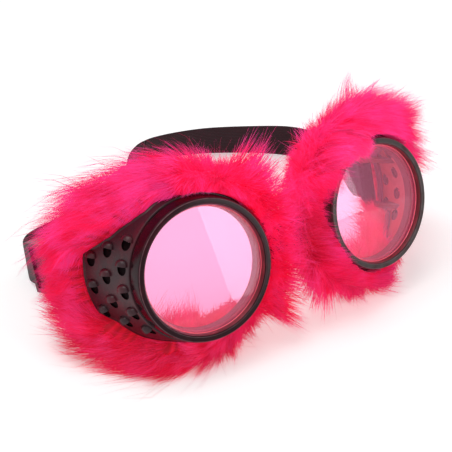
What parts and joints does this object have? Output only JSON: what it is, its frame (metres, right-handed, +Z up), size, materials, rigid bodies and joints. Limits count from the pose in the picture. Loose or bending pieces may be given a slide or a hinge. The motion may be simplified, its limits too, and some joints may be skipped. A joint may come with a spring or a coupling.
{
  "type": "party glasses",
  "caption": "Party goggles with round screw-in pink lenses, hooded side vents, plush fur trims round both cups, an elastic nose bridge and a head strap with a slider.",
  "frame": {"origin": "middle of the goggles' outer box in plan, on the surface that they stand on", "axes": "+X towards the wearer's left, -Y the way the wearer looks, +Z up"},
  "size_m": [0.1912, 0.1676, 0.0815],
  "materials": {
    "moulding": "satin",
    "ring": "gloss",
    "lens": "gloss",
    "rubber": "matte",
    "knit": "matte",
    "fur": "soft pile",
    "elastic": "woven",
    "thread": "matte"
  },
  "bodies": {
    "bridge": {"nose_bridge": "elastic", "bridge_stitching": "thread", "head_strap": "elastic"},
    "right_eyepiece": {"right_eyecup": "moulding", "right_gasket": "rubber", "right_fur_backing": "knit", "right_fur_trim": "fur"},
    "right_lens_seat": {"right_lens": "lens"},
    "right_ring": {"right_screw_ring": "ring"},
    "left_eyepiece": {"left_eyecup": "moulding", "left_gasket": "rubber", "left_fur_backing": "knit", "left_fur_trim": "fur", "temple_stitching": "thread"},
    "left_lens_seat": {"left_lens": "lens"},
    "left_ring": {"left_screw_ring": "ring"},
    "strap_slider": {"strap_slider": "moulding", "slider_stitching": "thread"}
  },
  "joints": [
    {"name": "right_cup_swing", "type": "hinge", "parent": "bridge", "child": "right_eyepiece", "pos_m": [-0.00944, -0.06771, 0.04056], "axis": [0, 0.3272, 0.9449], "range_deg": [-10, 16], "deforming": ["head_strap", "right_fur_trim"]},
    {"name": "right_lens_lift", "type": "slide", "parent": "right_eyepiece", "child": "right_lens_seat", "axis": [-0.0882, -0.9413, 0.3259], "range_m": [0, 0.0034]},
    {"name": "right_ring_turn", "type": "hinge", "parent": "right_lens_seat", "child": "right_ring", "pos_m": [-0.04423, -0.07476, 0.043], "axis": [-0.0882, -0.9413, 0.3259], "range_deg": [0, 405]},
    {"name": "left_cup_swing", "type": "hinge", "parent": "bridge", "child": "left_eyepiece", "pos_m": [0.00777, -0.06771, 0.04056], "axis": [0, -0.3272, -0.9449], "range_deg": [-10, 16], "deforming": ["head_strap", "left_fur_trim"]},
    {"name": "left_lens_lift", "type": "slide", "parent": "left_eyepiece", "child": "left_lens_seat", "axis": [0.0882, -0.9413, 0.3259], "range_m": [0, 0.0034]},
    {"name": "left_ring_turn", "type": "hinge", "parent": "left_lens_seat", "child": "left_ring", "pos_m": [0.04256, -0.07476, 0.043], "axis": [0.0882, -0.9413, 0.3259], "range_deg": [0, 405]},
    {"name": "slider_slide", "type": "slide", "parent": "right_eyepiece", "child": "strap_slider", "axis": [0.1478, -0.9346, 0.3236], "range_m": [0, 0.014], "deforming": ["head_strap"]}
  ],
  "couplings": [
    {"joint": "right_lens_lift", "follows": "right_ring_turn", "m_per_rad": 0.00047746},
    {"joint": "left_lens_lift", "follows": "left_ring_turn", "m_per_rad": 0.00047746}
  ]
}
